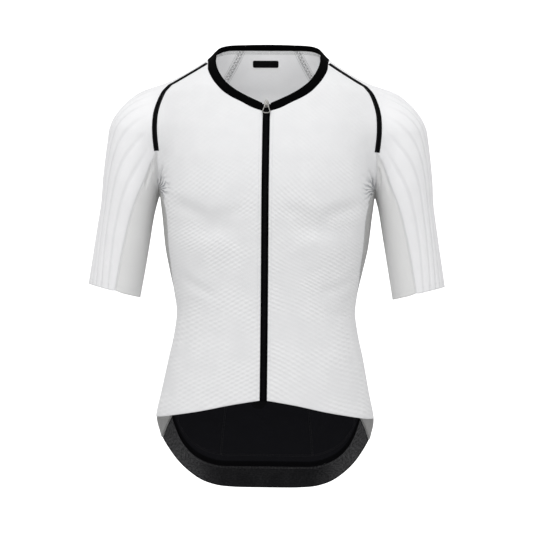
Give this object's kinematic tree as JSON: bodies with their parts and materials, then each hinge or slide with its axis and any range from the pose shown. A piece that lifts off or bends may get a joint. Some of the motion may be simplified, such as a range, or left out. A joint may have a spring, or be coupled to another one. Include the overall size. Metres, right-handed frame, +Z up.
{
  "type": "cycling jersey",
  "caption": "Filled-out short-sleeved cycling jersey with a full-length front zip, ribbed outer sleeves, low stand collar, back pockets and a gripper band round a dropped tail.",
  "frame": {"origin": "middle of the neck opening, where the collar meets the shoulder seams", "axes": "+Z up through the neck, +Y towards the wearer's back, +X towards the right of the front view"},
  "size_m": [0.5698, 0.239, 0.7266],
  "materials": {
    "white_knit": "matt fine knit, faint chevron ridges",
    "ribbed_knit": "matt knit with raised ribs",
    "grey_mesh": "matt open mesh",
    "black_knit": "matt dark knit",
    "collar_black": "smooth stretch knit, slight sheen",
    "black_tape": "smooth woven tape, slight sheen",
    "gripper_grey": "matt heathered elastic",
    "zip_black": "woven zip tape with moulded coil",
    "label_black": "plain moulded plate",
    "zip_metal": "satin metal, lightly worn"
  },
  "bodies": {
    "garment": {"front_right": "white_knit", "front_left": "white_knit", "side_panel_right": "grey_mesh", "side_panel_left": "grey_mesh", "sleeve_outer_right": "ribbed_knit", "sleeve_outer_left": "ribbed_knit", "sleeve_under_right": "grey_mesh", "sleeve_under_left": "grey_mesh", "shoulder_tape_right": "black_tape", "shoulder_tape_left": "black_tape", "zip_tape_right": "zip_black", "zip_tape_left": "zip_black", "back_upper": "white_knit", "back_lower": "black_knit", "hem_band": "gripper_grey", "collar_band": "collar_black", "zip_chain": "zip_black", "zip_base_patch": "black_tape", "zip_slider": "zip_metal", "neck_label": "label_black", "pocket_panel": "black_knit", "pocket_binding": "black_tape"},
    "pull_tab": {"zip_pull": "zip_metal"}
  },
  "joints": [
    {"name": "zip_pull_hinge", "type": "hinge", "parent": "garment", "child": "pull_tab", "pos_m": [0, -0.09052, -0.07469], "axis": [-1, 0, 0], "range_deg": [0, 160]}
  ]
}
